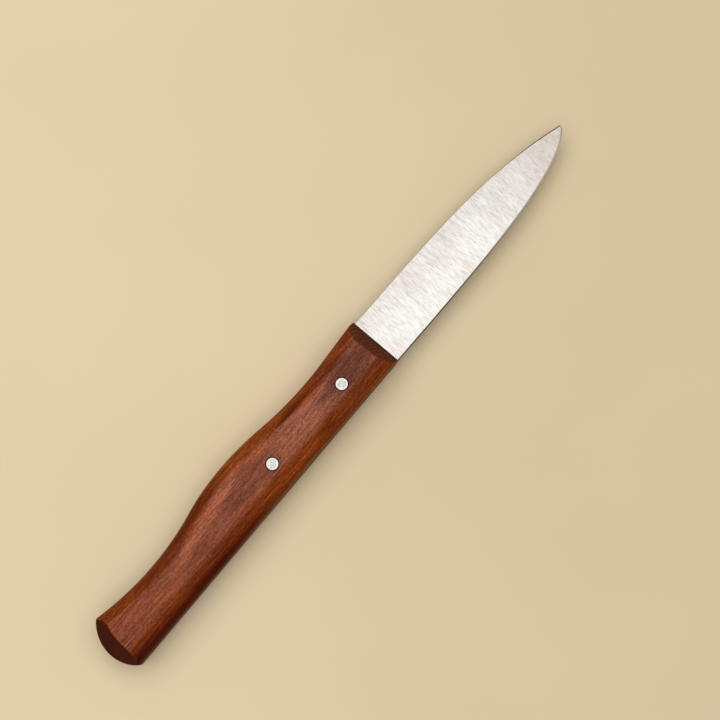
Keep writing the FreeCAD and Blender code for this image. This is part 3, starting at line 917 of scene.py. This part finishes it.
# %% Build the handle
FRONT_ZONE = 4.5
FRONT_RINGS = 32
FRONT_CROWDING = 1.5
BODY_END = -104.0
BODY_RINGS = 130
BUTT_RINGS = 52
LAST_ANGLE = 0.004
SLOT_FRONT = 2.0
SLOT_CLEARANCE = 0.05
SLOT_OVERCUT = 3.0
HANDLE_CREASE = 30

stations = []
for step in range(FRONT_RINGS):
    run = (FRONT_ZONE - FRONT_SETBACK) * (step / FRONT_RINGS) ** FRONT_CROWDING
    stations.append(-FRONT_SETBACK - run)
body_length = BODY_END + FRONT_ZONE
stations += [-FRONT_ZONE + body_length * step / BODY_RINGS for step in range(BODY_RINGS)]
first_angle = math.acos((BUTT_MIDDLE[0] - BODY_END) / BUTT_RADIUS)
for step in range(BUTT_RINGS):
    angle = first_angle * (1 - step / (BUTT_RINGS - 1)) + LAST_ANGLE
    stations.append(BUTT_MIDDLE[0] - BUTT_RADIUS * math.cos(angle))

handle = as_object("wooden_handle", tube(stations, len(ring_places), handle_section))
cut_or_join(handle, tang_plate(SLOT_FRONT, SLOT_CLEARANCE, SLOT_OVERCUT), "DIFFERENCE")
for name in PIN_PLACES:
    cut_or_join(handle, pin_seat(name), "DIFFERENCE")
finish_piece(handle, "handle", wood, HANDLE_CREASE)

# %% [markdown]
# ## The blade's grind
# The steel is thickest at the spine and is ground thin towards the edge, where a narrow bevel makes
# it sharp. Spine and edge curve together to the point. Both curves are powers of the share of the
# length, which stay nearly straight at the heel and turn quickly near the tip, as on the real
# blade. The flanks belly out by a few hundredths of a millimetre, which a grinding wheel leaves and
# which softens the reflection. A fine chamfer breaks the spine's corners and grows towards the tip.

# %% Blade section
BLADE_LENGTH = 80.0
BLADE_HEIGHT = 15.55
HEEL_INSET = 1.0
TIP_HEIGHT = 8.8
SPINE_CURVE = 3.75
EDGE_CURVE = 3.9
EDGE_FULLNESS = 1.66
TIP_THICKNESS = 0.5
SHOULDER_THICKNESS = 0.3
EDGE_THICKNESS = 0.06
EDGE_LEVEL = -0.13
EDGE_BEVEL = 0.36
EDGE_BEVEL_LIMIT = 0.14
FLANK_BELLY = 0.05
FLANK_BELLY_LIMIT = 0.02
SPINE_CHAMFER = 0.08
TIP_CHAMFER = 0.34
CHAMFER_START = 0.66
CHAMFER_LIMIT = 0.25
CHAMFER_DEPTH_LIMIT = 0.7
FLANK_STEPS = 8
SPINE_STEPS = 3

blade_ring = [("flank", 1, 1 - step / FLANK_STEPS) for step in range(FLANK_STEPS + 1)]
blade_ring += [("edge", 1, 0), ("edge", -1, 0)]
blade_ring += [("flank", -1, step / FLANK_STEPS) for step in range(FLANK_STEPS + 1)]
blade_ring += [("spine", -1 + 2 * step / SPINE_STEPS, 1) for step in range(SPINE_STEPS + 1)]


def blade_section(x, side):
    """The place across the blade of one vertex of the ring at x."""
    share = (x + HEEL_INSET) / (BLADE_LENGTH + HEEL_INSET)
    spine = BLADE_HEIGHT - (BLADE_HEIGHT - TIP_HEIGHT) * share**SPINE_CURVE
    edge_rise = 1 - (1 - share**EDGE_CURVE) ** (1 / EDGE_FULLNESS)
    edge = EDGE_LEVEL + (TIP_HEIGHT - EDGE_LEVEL) * edge_rise
    height = spine - edge
    shoulder = edge + min(EDGE_BEVEL, EDGE_BEVEL_LIMIT * height)
    spine_half = (STEEL_THICKNESS - (STEEL_THICKNESS - TIP_THICKNESS) * share) / 2
    chamfer_share = max(share - CHAMFER_START, 0) / (1 - CHAMFER_START)
    chamfer = SPINE_CHAMFER + (TIP_CHAMFER - SPINE_CHAMFER) * chamfer_share
    chamfer = min(chamfer, CHAMFER_LIMIT * height)
    part, across, climb = blade_ring[side]
    if part == "edge":
        return edge, across * EDGE_THICKNESS / 2
    if part == "spine":
        return spine, across * (spine_half - min(chamfer, CHAMFER_DEPTH_LIMIT * spine_half))
    swell = min(FLANK_BELLY, FLANK_BELLY_LIMIT * height) * 4 * climb * (1 - climb)
    half = SHOULDER_THICKNESS / 2 + climb * (spine_half - SHOULDER_THICKNESS / 2) + swell
    return shoulder + climb * (spine - chamfer - shoulder), across * half


print("blade ring of", len(blade_ring), "vertices")

# %% [markdown]
# ## The steel
# The flanks were ground from spine to edge, so fine scratches run across the blade, a few degrees
# off square. They darken the steel in thin lines and vary its roughness and height a little. Wide
# soft bands in the same direction vary the tone. The steel is painted greyer towards spine and tip,
# as painted shade, and straw at the very point. An anisotropic shader could stretch the
# reflections instead, but it would show no single scratches.

# %% Ground steel: marks
SCRATCH_SLANT = (0, 0, math.radians(-4))
SCRATCH_MARKS = (7.0, 0.36, 0.5)
WIDE_BAND_MARKS = (0.5, 0.03, 0.2)
MOTTLE_MARKS = (0.10, 0.16, 0.2)

steel, tree, shader = new_material("ground_steel")
scratches = stretched_noise(tree, SCRATCH_MARKS, detail=3, roughness=0.75, turn=SCRATCH_SLANT)
wide_bands = stretched_noise(tree, WIDE_BAND_MARKS, detail=3, roughness=0.6, turn=SCRATCH_SLANT)
mottle = stretched_noise(tree, MOTTLE_MARKS, detail=3, roughness=0.6)
print("scratches about", round(1 / SCRATCH_MARKS[1], 1), "mm long")

# %% Ground steel: tones and surface
STEEL_BRIGHT = (0.595, 0.583, 0.568)
STEEL_ROSE = (0.550, 0.511, 0.495)
STEEL_GREY = (0.395, 0.372, 0.352)
STEEL_STRAW = (0.425, 0.378, 0.308)
SCRATCH_TONE = (0.60, 0.595, 0.585)
MOTTLE_RAMP = (0.42, 0.68, 0.0, 0.8)
WIDE_BAND_RAMP = (0.45, 0.75, 0.0, 0.4)
SCRATCH_RAMP = (0.42, 0.66, 0.0, 0.85)
SPINE_PAINTED_SHADE = (9.0, 0.30)
TIP_PAINTED_SHADE = (45.0, 0.58)
POINT_FADE = (18.0, 0.6)
STEEL_ROUGHNESS = (0.30, 0.42)


def fade(tree, coordinate, end, length_mm, share):
    """A share that grows to its whole along a length before the end."""
    return between(tree, coordinate, end - length_mm * MM, end, 0.0, share)


colour = mixed(tree, between(tree, mottle, *MOTTLE_RAMP), STEEL_BRIGHT, STEEL_ROSE)
colour = mixed(tree, between(tree, wide_bands, *WIDE_BAND_RAMP), colour, STEEL_GREY)
place = place_parts(tree)
spine_y = at(0, BLADE_HEIGHT, 0).y
tip_x = at(BLADE_LENGTH, 0, 0).x
# Painted shade: the steel greys towards the spine and the tip.
colour = mixed(tree, fade(tree, place["Y"], spine_y, *SPINE_PAINTED_SHADE), colour, STEEL_GREY)
colour = mixed(tree, fade(tree, place["X"], tip_x, *TIP_PAINTED_SHADE), colour, STEEL_GREY)
colour = mixed(tree, fade(tree, place["X"], tip_x, *POINT_FADE), colour, STEEL_STRAW)
colour = mixed(tree, between(tree, scratches, *SCRATCH_RAMP), colour, SCRATCH_TONE, "MULTIPLY")
steel_inputs = {
    "Base Color": colour,
    "Roughness": between(tree, scratches, *NOISE_RANGE, *STEEL_ROUGHNESS),
    "Normal": bumped(tree, scratches, depth_mm=0.01, strength=0.2),
    "Metallic": 1.0,
}
finish_material(steel, shader, steel_inputs)

# %% [markdown]
# The narrow edge bevel is honed lengthwise on a stone. Its colour is painted shade: dark along most
# of the blade, where the bevel faces away from the light, and painted lighter towards the tip. The
# spine's chamfer has the same finish and the same painted shade: it is dark near the tip and fades
# into the grey of the flank further back. One material serves both, and tells them apart by the
# side that the surface faces.

# %% Honed edge material
SHADED_EDGE_DARK = (0.045, 0.038, 0.022)
SHADED_EDGE_LIGHT = (0.10, 0.088, 0.055)
EDGE_PAINTED_LIGHT_AT_TIP = (0.40, 0.385, 0.34)
HONING_MARKS = (0.2, 9.0, 9.0)
HONED_ROUGHNESS = (0.3, 0.45)
ON_SPINE_RAMP = (-0.05, 0.05)
EDGE_PAINTED_LIGHT_RANGE = (58.0, 4.0)
EDGE_PAINTED_LIGHT_SHARE = 0.95
SPINE_DARK_LENGTH = 12.0

honed, tree, shader = new_material("honed_edge")
honing = stretched_noise(tree, HONING_MARKS, detail=3, roughness=0.6)
# Painted shade on the bevel and chamfer, painted lighter towards the tip.
colour = mixed(tree, between(tree, honing, *NOISE_RANGE), SHADED_EDGE_DARK, SHADED_EDGE_LIGHT)
place = place_parts(tree)
on_spine = between(tree, facing_parts(tree)["Y"], *ON_SPINE_RAMP)
on_edge = combined(tree, "SUBTRACT", 1.0, on_spine)
light_from, light_to = [tip_x - length * MM for length in EDGE_PAINTED_LIGHT_RANGE]
painted_light_to_tip = between(tree, place["X"], light_from, light_to, 0.0, EDGE_PAINTED_LIGHT_SHARE)
colour = mixed(tree, combined(tree, "MULTIPLY", on_edge, painted_light_to_tip), colour, EDGE_PAINTED_LIGHT_AT_TIP)
chamfer_x = at(CHAMFER_START * (BLADE_LENGTH + HEEL_INSET) - HEEL_INSET, 0, 0).x
to_heel = between(tree, place["X"], tip_x - SPINE_DARK_LENGTH * MM, chamfer_x)
colour = mixed(tree, combined(tree, "MULTIPLY", on_spine, to_heel), colour, STEEL_GREY)
honed_inputs = {
    "Base Color": colour,
    "Roughness": between(tree, honing, *NOISE_RANGE, *HONED_ROUGHNESS),
    "Normal": bumped(tree, honing, depth_mm=0.005, strength=0.2),
    "Metallic": 1.0,
}
finish_material(honed, shader, honed_inputs)

# %% [markdown]
# The tang is not ground, and shows only as a thin line along the belly. Its dull olive grey is a
# painted reflection of dark surroundings. One more fade in the ground steel could give it, but a
# small material of its own is easier to read.

# %% Dull tang material
TANG_REFLECTION_OLIVE = (0.090, 0.062, 0.028)
TANG_REFLECTION_GREY = (0.150, 0.115, 0.065)
ROLLING_MARKS = (0.15, 1.2, 1.2)
TANG_ROUGHNESS = (0.5, 0.65)

dull_steel, tree, shader = new_material("dull_tang_steel")
rolling = stretched_noise(tree, ROLLING_MARKS, detail=3, roughness=0.6)
tang_inputs = {
    # Painted reflection: dark olive tones on the tang's steel.
    "Base Color": mixed(tree, between(tree, rolling, *NOISE_RANGE), TANG_REFLECTION_OLIVE, TANG_REFLECTION_GREY),
    "Roughness": between(tree, rolling, *NOISE_RANGE, *TANG_ROUGHNESS),
    "Normal": bumped(tree, rolling, depth_mm=0.01, strength=0.2),
    "Metallic": 1.0,
}
finish_material(dull_steel, shader, tang_inputs)

# %% [markdown]
# ## The blade
# Blade and tang are one piece of steel. Their sections differ, so each is made by itself. The
# blade's rings stand closer together towards the tip, where spine and edge turn. The tang plate is
# joined on, the shoulder above it is cut back to the handle's front, and the pins' holes are bored.

# %% Build the blade
BLADE_RINGS = 150
RING_CROWDING = 1.7
TIP_FLAT = 0.04
TANG_STANDS_PROUD = 0.15
TOUCH = 0.02
NOTCH_SIZE = 10.0
BLADE_CREASE = 6

whole_length = BLADE_LENGTH + HEEL_INSET - TIP_FLAT
stations = []
for step in range(BLADE_RINGS):
    left = 1 - step / (BLADE_RINGS - 1)
    stations.append(whole_length * (1 - left**RING_CROWDING) - HEEL_INSET)

blade = as_object("ground_blade", tube(stations, len(blade_ring), blade_section))
cut_or_join(blade, tang_plate(-HEEL_INSET + TOUCH, 0, TANG_STANDS_PROUD), "UNION")
notch = bmesh.new()
bmesh.ops.create_cube(notch, size=NOTCH_SIZE * MM)
notch_middle = at(-FRONT_SETBACK - NOTCH_SIZE / 2, TANG_TOP + NOTCH_SIZE / 2, 0)
bmesh.ops.translate(notch, verts=notch.verts, vec=notch_middle)
cut_or_join(blade, notch, "DIFFERENCE")
for name in PIN_PLACES:
    cut_or_join(blade, pin_hole(name), "DIFFERENCE")
finish_piece(blade, "blade", steel, BLADE_CREASE)

# %% [markdown]
# Honed faces are told from the flank by their slope. In front of the handle, those that lean down
# are the edge's bevel, and those that lean well up, where the spine's chamfer grows, are the
# spine's. Everything behind the handle's front is tang.

# %% Give bevel, spine and tang their finish
BEVEL_LEAN = 0.10
SPINE_LEAN = 0.25
HONED_PLACE = 1
DULL_PLACE = 2

blade.data.materials.append(honed)
blade.data.materials.append(dull_steel)
tang_x = at(-FRONT_SETBACK, 0, 0).x
honed_faces = 0
for face in blade.data.polygons:
    at_bevel = face.normal.y < -BEVEL_LEAN
    at_spine = face.normal.y > SPINE_LEAN and face.center.x > chamfer_x
    if face.center.x > corner.x and (at_bevel or at_spine):
        face.material_index = HONED_PLACE
        honed_faces += 1
    elif face.center.x < tang_x:
        face.material_index = DULL_PLACE
print("honed faces:", honed_faces)

# %% [markdown]
# ## The pins
# Each pin is a length of aluminium rod whose ends were hammered into flared seats and sanded flush.
# A cylinder with bevelled ends would be quicker, but it has no flare, so the pin is turned from its
# half-profile. The faces are very slightly domed and their rims eased, so that each catches the
# light as a disc. Sanding leaves fine random swirls. Their grey is painted stronger in the middle
# of a face than at its rim, as painted shade of the dome.

# %% Aluminium material
PIN_HEAD_RADIUS = 1.67
ALUMINIUM_PALE = (0.585, 0.58, 0.56)
ALUMINIUM_GREY = (0.25, 0.25, 0.245)
ALUMINIUM_ROUGHNESS = (0.32, 0.5)
BENDS_PER_METRE = 600.0
BEND_SHARE = 0.0006
SWIRLS_PER_METRE = 2600.0
SWIRL_RAMP = (0.38, 0.66, 0.25, 1.0)
DOME_SHADE_RAMP = (0.95, 0.55, 0.1, 0.9)

aluminium, tree, shader = new_material("sanded_aluminium")
bend_inputs = {"Vector": object_place(tree), "Scale": BENDS_PER_METRE, "Detail": 1.0}
bends = add_node(tree, "ShaderNodeTexNoise", bend_inputs).outputs["Color"]
bent = mixed(tree, BEND_SHARE, object_place(tree), bends, "ADD")
swirl_inputs = {"Vector": bent, "Scale": SWIRLS_PER_METRE, "Detail": 3.0, "Roughness": 0.6}
swirls = add_node(tree, "ShaderNodeTexNoise", swirl_inputs).outputs["Fac"]
head_reach = (PIN_HEAD_RADIUS, PIN_HEAD_RADIUS)
from_pins = [distance_from(tree, pin_place, head_reach) for pin_place in PIN_PLACES.values()]
# Painted shade of the dome: the swirls grey most in the middle of each face.
painted_dome_shade = between(tree, combined(tree, "MINIMUM", *from_pins), *DOME_SHADE_RAMP)
swirl_and_dome_shade = combined(tree, "MULTIPLY", between(tree, swirls, *SWIRL_RAMP), painted_dome_shade)
aluminium_inputs = {
    "Base Color": mixed(tree, swirl_and_dome_shade, ALUMINIUM_PALE, ALUMINIUM_GREY),
    "Roughness": between(tree, swirls, *NOISE_RANGE, *ALUMINIUM_ROUGHNESS),
    "Normal": bumped(tree, swirls, depth_mm=0.015, strength=0.3),
    "Metallic": 1.0,
}
finish_material(aluminium, shader, aluminium_inputs)

# %% Build the pins
DOME = 0.05
DOME_STEPS = (0, 0.5, 0.8)
RIM = 0.06
PIN_CREASE = 25

half = [(PIN_HEAD_RADIUS * step, HALF_THICKNESS - DOME * step**2) for step in DOME_STEPS]
half += [
    (PIN_HEAD_RADIUS - RIM, HALF_THICKNESS - DOME),
    (PIN_HEAD_RADIUS, HALF_THICKNESS - DOME - RIM),
    (PIN_RADIUS, neck_height),
]
for name, pin_place in PIN_PLACES.items():
    pin = as_object(f"{name}_pin", turned(both_ways(half), at(*pin_place, 0)))
    finish_piece(pin, name, aluminium, PIN_CREASE)
